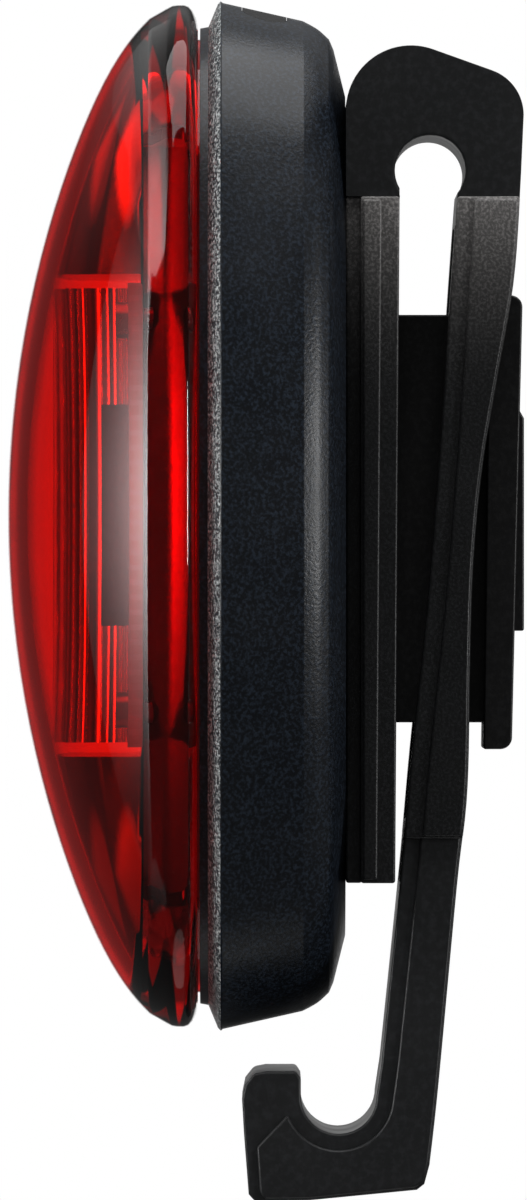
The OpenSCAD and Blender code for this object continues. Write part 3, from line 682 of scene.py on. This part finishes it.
# %% Battery housing
core_r = 6
back_corner = smooth_line([(17.4, 13.2), (18.0, 13.85), (18.35, 14.4), (18.66, 15.0)], 4)
housing_outside = [
    (core_r, 12.1), (13.5, 12.1), (16.7, 12.9), *back_corner, (19.88, 20.4), (20, 20.55), (19.8, 20.75),
    (18.25, 21.39), (18.15, 21.95), (17.5, 21.95),
]
housing_inside = [(17.5, 19.3), (17, 19.3), (17, 15.4), (15.5, 13.9), (core_r, 13.9)]
lip_d = 20.4
cap_length = 9
cap_width = 3
cap_d = 17.6
hole_low_z = 26
hole_high_z = 40
# The rubber fits its hole closely, so the gap is only a line.
cap_gap = 0.03


def cap_column(bm, gap, z_from, z_to):
    """Upright column with rounded ends, for the switch cap and its hole."""
    radius = cap_width / 2 + gap
    half = cap_length / 2 - cap_width / 2
    ends = arc((half, 0), radius, -90, 90, 12) + arc((-half, 0), radius, 90, 270, 12)
    face = bm.faces.new([bm.verts.new((x, -cap_d + y, z_from)) for x, y in ends])
    drawn = bmesh.ops.extrude_face_region(bm, geom=[face], use_keep_orig=True)["geom"]
    bmesh.ops.translate(
        bm, verts=[g for g in drawn if isinstance(g, bmesh.types.BMVert)], vec=(0, 0, z_to - z_from))
    bmesh.ops.recalc_face_normals(bm, faces=bm.faces)


def combine(made, other, operation):
    """Applies a Boolean with another object, and removes that object."""
    cut = made.modifiers.new("cut", "BOOLEAN")
    cut.operation = operation
    cut.solver = "EXACT"
    cut.object = other
    bpy.context.view_layer.update()
    result = bpy.data.meshes.new_from_object(made.evaluated_get(bpy.context.evaluated_depsgraph_get()))
    made.modifiers.clear()
    made.data = result
    bpy.data.objects.remove(other)
    made.data.shade_smooth()
    made.data.set_sharp_from_angle(angle=math.radians(28))


bm = bmesh.new()
sweep_around(bm, draw_profile(bm, housing_outside + housing_inside))
bmesh.ops.holes_fill(bm, edges=[e for e in bm.edges if e.is_boundary])
bmesh.ops.recalc_face_normals(bm, faces=bm.faces)
# The front lip's faces take the pale finish, a painted highlight.
for face in bm.faces:
    if face.calc_center_median().y < -lip_d and face.normal.y < -0.2:
        face.material_index = 1
housing = make_piece("battery_tub", bm, [housing_abs, lip_painted_highlight], crease=28)
bm = bmesh.new()
cap_column(bm, cap_gap, hole_low_z, hole_high_z)
combine(housing, make_piece("cap_hole", bm, []), "DIFFERENCE")
keep_flats_flat(housing)
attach(housing, "housing")
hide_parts("rear_housing")
print("housing now has", len(housing.data.polygons), "faces")

# %% [markdown]
# ## Switch cap
# The rubber switch cap fills its hole flush with the curved top wall. The same swept outline,
# filled, meets the same column in a Boolean, so the two surfaces line up.

# %% Finish: black silicone rubber, moulded matt
# Silicone from a blasted tool has almost no gloss, so the cap shows as a dull patch in the wall.
cap_rubber = moulded_black("black_silicone_matt", "#121213", "#1f1f20", 0.3, 0.008, 0.62)

# %% Switch cap
flange_low_z = 29.9
flange_high_z = 30.7
flange_side = 0.8
flange_front = 0.3
stem_r = 1.2
stem_length = 0.8
bm = bmesh.new()
sweep_around(bm, draw_profile(bm, [*housing_outside, (core_r, 21.7)]))
bmesh.ops.holes_fill(bm, edges=[e for e in bm.edges if e.is_boundary])
bmesh.ops.recalc_face_normals(bm, faces=bm.faces)
cap = make_piece("switch_button", bm, [cap_rubber], crease=28)
bm = bmesh.new()
cap_column(bm, 0, (flange_low_z + flange_high_z) / 2, hole_high_z)
combine(cap, make_piece("cap_limit", bm, []), "INTERSECT")
bm = bmesh.new()
bm.from_mesh(cap.data)
bmesh.ops.scale(bm, vec=(1 / MM,) * 3, verts=bm.verts)
half_x = cap_length / 2 + flange_side
half_y = cap_width / 2 + flange_front
prism(bm, [
    (-cap_d - half_y, flange_low_z), (-cap_d + half_y, flange_low_z),
    (-cap_d + half_y, flange_high_z), (-cap_d - half_y, flange_high_z),
], -half_x, half_x)
stem = bmesh.ops.create_cone(
    bm, cap_ends=True, segments=32, radius1=stem_r, radius2=stem_r, depth=stem_length)["verts"]
bmesh.ops.translate(bm, verts=stem, vec=(0, -cap_d, flange_low_z + 0.1))
bpy.data.objects.remove(cap)
cap = make_piece("switch_button", bm, [cap_rubber], crease=28)
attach(cap, "button")
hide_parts("switch_cap")

# %% [markdown]
# ## Spring clip: the plate on the housing
# The clip is one springy moulding bent into a narrow U. Its fixed side is a plate on the
# housing's back: a narrow pad against the housing, a wide plate, and a cheek that stands a
# quarter of a millimetre proud, which draws the thin line seen along the plate's edge.

# %% Clip lines, as points of depth and height
split_y = -6.41
keyhole = (split_y, 23.26)
keyhole_r = 2.38
bend_front = (-7.7, 27.3)
bend_front_r = 4.4
bend_back = (-3.3, 27)
bend_back_r = 3.2
run_angle = 70.3
leg_top_z = 21.5
leg_bottom_z = -21.8
base_bottom_z = -24.8
window_half = 7.5
leg_half = 11
bend_half = 10
arm_back = smooth_line([
    (-0.28, 23), (-0.75, 16), (-1.9, 9.2), (-2.9, 3.2), (-3.5, -3.2), (-3.72, -10), (-3.9, -18.5),
    (-4.6, -25), (-5.85, -38.4), (-6.45, -43.8),
])
arm_front = smooth_line([
    (-4.56, 21.76), (-5.05, 15), (-5.65, 6), (-6.6, -6), (-7.6, -15.5), (-8.42, -24.5), (-9.7, -37),
])
housing_back_y = -12.1
plate_line = [(-8.47, leg_top_z), (-8.77, base_bottom_z)]
cheek_rise = 0.25
cheek_margin = 1.2
print("arm at mid height from", round(at_height(arm_front, 0), 2), "to", round(at_height(arm_back, 0), 2))

# %% Clip plate
pad_half = 9.5
pad_y = -11.0
plate_y = -11.1
cheek_y = -10.95
cheek_top_z = leg_top_z - 0.2
cheek_bottom_z = base_bottom_z + 0.2
bm = bmesh.new()
prism(bm, [
    (housing_back_y, leg_top_z), (housing_back_y, base_bottom_z), (pad_y, base_bottom_z), (pad_y, leg_top_z),
], -pad_half, pad_half)
prism(bm, [
    (plate_y, leg_top_z), (plate_y, base_bottom_z), plate_line[1], plate_line[0],
], -leg_half + cheek_rise, leg_half - cheek_rise)
prism(bm, [
    (cheek_y, cheek_top_z), (cheek_y, cheek_bottom_z),
    (plate_line[1][0] - cheek_margin, cheek_bottom_z), (plate_line[0][0] - cheek_margin, cheek_top_z),
], -leg_half, leg_half)
round_edges(bm, 0.18)
plate = make_piece("clip_plate", bm, [leg_acetal])
keep_flats_flat(plate)
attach(plate, "housing")
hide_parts("clip_base")

# %% [markdown]
# ## Spring clip: the bend
# The bend is the spring: it flexes as the arm opens. Its keyhole spreads the strain. It is one prism across
# both sides of the split.

# %% Clip bend
slot_front = math.degrees(math.acos((plate_line[0][0] - split_y) / keyhole_r))
slot_back = math.degrees(math.acos((arm_front[0][0] - split_y) / keyhole_r))
bend_low_z = 19.6
bend_outline = [
    (housing_back_y, leg_top_z),
    *arc(bend_front, bend_front_r, 180, run_angle, 24),
    *arc(bend_back, bend_back_r, run_angle, 0, 16),
    *[p for p in arm_back if p[1] > bend_low_z],
    (at_height(arm_back, bend_low_z), bend_low_z), (at_height(arm_front, bend_low_z), bend_low_z),
    arm_front[0],
    *arc(keyhole, keyhole_r, -slot_back, 360 - slot_front, 40)[1:],
    (plate_line[0][0], leg_top_z),
]
hole_bevel = 0.7
bm = bmesh.new()
prism(bm, bend_outline, -bend_half, bend_half)
hole_edges = [
    e for e in bm.edges
    if abs(e.verts[0].co.x - e.verts[1].co.x) < 0.01
    and all(abs(math.hypot(v.co.y - keyhole[0], v.co.z - keyhole[1]) - keyhole_r) < 0.02 for v in e.verts)
]
bmesh.ops.bevel(
    bm, geom=hole_edges, offset=hole_bevel, offset_type="OFFSET", segments=2, profile=0.5,
    affect="EDGES", clamp_overlap=True, material=-1)
round_edges(bm, 0.3, least=50)
bend = make_piece("clip_bend", bm, [bend_acetal])
keep_flats_flat(bend)
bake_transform(bend)
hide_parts("clip_base")

# %% [markdown]
# ## Spring clip: the arm
# The moving side is a fork: two grained legs beside the shoe, which join in a bar that ends in
# a hook. The legs stand proud of the bend and the bar, and each side has the same proud cheek.

# %% Clip arm
def leg_side(top, bottom, front_margin, back_margin):
    """Closed outline of a leg between two heights, set in from its front and back."""
    heights = [top + (bottom - top) * k / 36 for k in range(37)]
    down = [(at_height(arm_front, z) + front_margin, z) for z in heights]
    up = [(at_height(arm_back, z) - back_margin, z) for z in reversed(heights)]
    return down + up


hook = (-12.58, -39.17)
hook_r = 2.55
bar_top_z = -20.6
tip = [
    (-6.8, -45.1), (-7.3, -45.5), (-14.5, -46.2), (-18.2, -46.3), (-18.65, -45.8), (-18.97, -41.7),
    (-19.1, -39.4), (-18.9, -38.4), (-18.3, -37.65), (-17.5, -37.5), (-15.45, -37.5), (-15.13, -38),
]
bar_outline = [
    (at_height(arm_back, bar_top_z), bar_top_z),
    *[p for p in arm_back if p[1] < bar_top_z],
    *tip,
    *arc(hook, hook_r, 180, 360, 24),
    *[p for p in reversed(arm_front) if p[1] < bar_top_z],
    (at_height(arm_front, bar_top_z), bar_top_z),
]
hook_margin = 1.1
cheek_outline = [
    (at_height(arm_back, leg_bottom_z) - 0.1, leg_bottom_z + 0.5),
    *[(y - 0.1, z) for y, z in arm_back if z < leg_bottom_z],
    (-6.9, -45.0), (-7.4, -45.35), (-14.5, -46.05), (-17.6, -46.1), (-17.9, -45.6), (-18.1, -42.6),
    *arc(hook, hook_r + hook_margin, 200, 350, 24),
    *[(y + hook_margin, z) for y, z in reversed(arm_front) if z < leg_bottom_z],
    (at_height(arm_front, leg_bottom_z) + hook_margin, leg_bottom_z + 0.5),
]
bm = bmesh.new()
prism(bm, bar_outline, -bend_half + cheek_rise, bend_half - cheek_rise, 1)
prism(bm, cheek_outline, -bend_half, bend_half, 1)
leg = leg_side(leg_top_z, leg_bottom_z, 0, 0)
leg_cheek = leg_side(leg_top_z - 0.15, leg_bottom_z + 0.15, cheek_margin, 0.1)
for hand in (-1, 1):
    prism(bm, leg, hand * window_half, hand * (leg_half - cheek_rise))
    prism(bm, leg_cheek, hand * (window_half + 0.5), hand * leg_half)
round_edges(bm, 0.2, least=40)
arm = make_piece("clip_fork", bm, [leg_acetal, bend_acetal])
keep_flats_flat(arm)
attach(arm, "clip")
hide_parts("clip_arm")

# %% [markdown]
# ## Slide shoe
# The shoe is the T that slides into a mount on the bike: a neck between the clip's legs, a wide
# flange, and a small pad that lies on the mount.

# %% Slide shoe
neck_half = 5
flange_half = 6.8
pad_side = 4.5
corner = 0.8
bm = bmesh.new()
prism(bm, [(-9.6, -14), (-2, -14), (-2, 13.6), (-9.6, 13.6)], -neck_half, neck_half)
prism(bm, [
    (-2.78, -15.8),
    *arc((-0.84 - corner, -15.8 + corner), corner, 270, 360, 8),
    *arc((-0.14 - corner, 14.9 - corner), corner, 0, 90, 8),
    (-2.4, 14.9),
], -flange_half, flange_half)
prism(bm, [(-1.2, -7.8), (0, -7.8), (0, 6.6), (-0.9, 8.2), (-1.2, 8.2)], -pad_side, pad_side)
round_edges(bm, 0.2)
shoe = make_piece("slide_shoe", bm, [shoe_nylon])
keep_flats_flat(shoe)
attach(shoe, "housing")
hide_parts("mount_shoe")

# %% [markdown]
# ## Inside pieces
# The pieces inside keep their CAD shapes and get real finishes. Screws and contacts are plated or
# rolled metal, and seals and holders are plain mouldings, so the functions above serve again.

# %% Finishes for the metals and rubbers
def dress(finish, *names):
    """Gives CAD nodes a finish."""
    for name in names:
        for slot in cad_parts[name].material_slots:
            slot.material = finish


dress(plating, "reflector")
# Zinc on steel is a dull grey, nickel is brighter and warmer, and rolled bronze is golden.
dress(worked_metal("steel_zinc_plated", "#b8b8bc", "#8e8e92", 0.3, 0.6), "board_screws", "bracket_screws")
nickel = worked_metal("steel_nickel_plated", "#c8c6c0", "#a8a69e", 0.25, 1)
dress(nickel, "top_contacts", "bottom_bridge", "contact_springs")
dress(worked_metal("bronze_spring_rolled", "#c9a560", "#a8823e", 0.3, 0.8), "pickup_leaves")
dress(inner_abs, "battery_tray", "optic_clips", "tact_switch", "board_parts")
# The plunger's grey nylon looks soft and even, and nitrile rubber is matt and nearly black.
dress(moulded_black("grey_nylon_plunger", "#77777b", "#8c8c90", 0.3, 0.005, 0.5), "switch_plunger")
nitrile = moulded_black("black_nitrile_rubber", "#141414", "#242424", 0.3, 0.006, 0.6)
dress(nitrile, "lens_gasket", "screw_seals")

# %% [markdown]
# ## Circuit boards
# A board is glass cloth set in epoxy, with copper etched into tracks and a mask printed over it. The
# tracks show only as faint lines under the mask, so a brick pattern, turned upright, is enough.

# %% Finish: circuit boards, printed and masked
def masked_board(name, mask, mask_over_copper, copper_mm):
    """Glass epoxy under a glossy mask, with copper tracks that show as lines under it."""
    material = bpy.data.materials.new(name)
    material.use_nodes = True
    tree = material.node_tree
    shader = tree.nodes["Principled BSDF"]
    shader.inputs["Roughness"].default_value = 0.35
    place = add(tree, "ShaderNodeTexCoord").outputs["Object"]
    upright = add(tree, "ShaderNodeMapping", {
        "Rotation": (math.radians(90), 0, 0)}, {"Vector": place}).outputs["Vector"]
    tracks = add(tree, "ShaderNodeTexBrick", {
        "Scale": 1 / (5 * copper_mm * MM), "Mortar Size": 0.08,
        "Color1": linear(mask), "Color2": linear(mask), "Mortar": linear(mask_over_copper),
    }, {"Vector": upright})
    tree.links.new(tracks.outputs["Color"], shader.inputs["Base Color"])
    print(name, "tracks of about", copper_mm, "mm")
    return material


# The diodes' board is masked white, as boards that carry lamps are, so that it throws their light
# forward. The switch board is a common green one, with paler lines over its copper.
dress(masked_board("glass_epoxy_white_masked", "#e9e9e4", "#e1dfd6", 0.8), "circuit_board")
dress(masked_board("glass_epoxy_green_masked", "#0e2a1a", "#2c5a38", 0.8), "switch_board")

# %% [markdown]
# ## Diodes
# A diode is a chip under yellow phosphor, cast into clear epoxy. A little scattering below the
# surface and a cloudy tint make it look like a drop of pale amber.

# %% Finish: diode, epoxy over phosphor
epoxy = bpy.data.materials.new("epoxy_clear_cast")
epoxy.use_nodes = True
tree = epoxy.node_tree
shader = tree.nodes["Principled BSDF"]
shader.inputs["Roughness"].default_value = 0.12
shader.inputs["Subsurface Weight"].default_value = 0.2
place = add(tree, "ShaderNodeTexCoord").outputs["Object"]
cloud = add(tree, "ShaderNodeTexNoise", {"Scale": 1 / (0.8 * MM)}, {"Vector": place}).outputs["Fac"]
glow = add(tree, "ShaderNodeMixRGB", {
    "Color1": linear("#f4e2c0"), "Color2": linear("#e8c98a")}, {"Fac": cloud})
tree.links.new(glow.outputs["Color"], shader.inputs["Base Color"])
dress(epoxy, "main_led", "side_leds")
print(epoxy.name, "on the diodes")

# %% [markdown]
# ## Cells
# A cell is a plated steel can in a coloured plastic sleeve that was shrunk over it. One material
# draws both: the height decides where the sleeve ends, and a fine bump gives it wrinkles.

# %% Finish: cell sleeve, shrunk over the can
sleeve = bpy.data.materials.new("cell_sleeve_shrunk")
sleeve.use_nodes = True
tree = sleeve.node_tree
shader = tree.nodes["Principled BSDF"]
place = add(tree, "ShaderNodeTexCoord").outputs["Object"]
height = add(tree, "ShaderNodeSeparateXYZ", {}, {"Vector": place}).outputs["Z"]
# A plain blue sleeve covers the middle of the can, and bare plated steel shows at both ends.
sleeve_half = 21.2
away = add(tree, "ShaderNodeMath", {"operation": "ABSOLUTE"}, {0: height}).outputs["Value"]
bare = add(tree, "ShaderNodeMath", {
    "operation": "GREATER_THAN", 1: sleeve_half * MM}, {0: away}).outputs["Value"]
wrinkle = add(tree, "ShaderNodeTexNoise", {
    "Scale": 1 / (2.5 * MM), "Detail": 2.0}, {"Vector": place}).outputs["Fac"]
jacket = add(tree, "ShaderNodeMixRGB", {
    "Color1": linear("#1f4a6a"), "Color2": linear("#2d5f84")}, {"Fac": wrinkle})
both = add(tree, "ShaderNodeMixRGB", {"Color2": linear("#bdbbb6")}, {
    "Fac": bare, "Color1": jacket.outputs["Color"]})
bump = add(tree, "ShaderNodeBump", {"Strength": 0.3, "Distance": 0.03 * MM}, {"Height": wrinkle})
shader.inputs["Roughness"].default_value = 0.3
tree.links.new(both.outputs["Color"], shader.inputs["Base Color"])
tree.links.new(bare, shader.inputs["Metallic"])
tree.links.new(bump.outputs["Normal"], shader.inputs["Normal"])
dress(sleeve, "battery_left", "battery_right")
print("dressed", len(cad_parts), "CAD nodes")
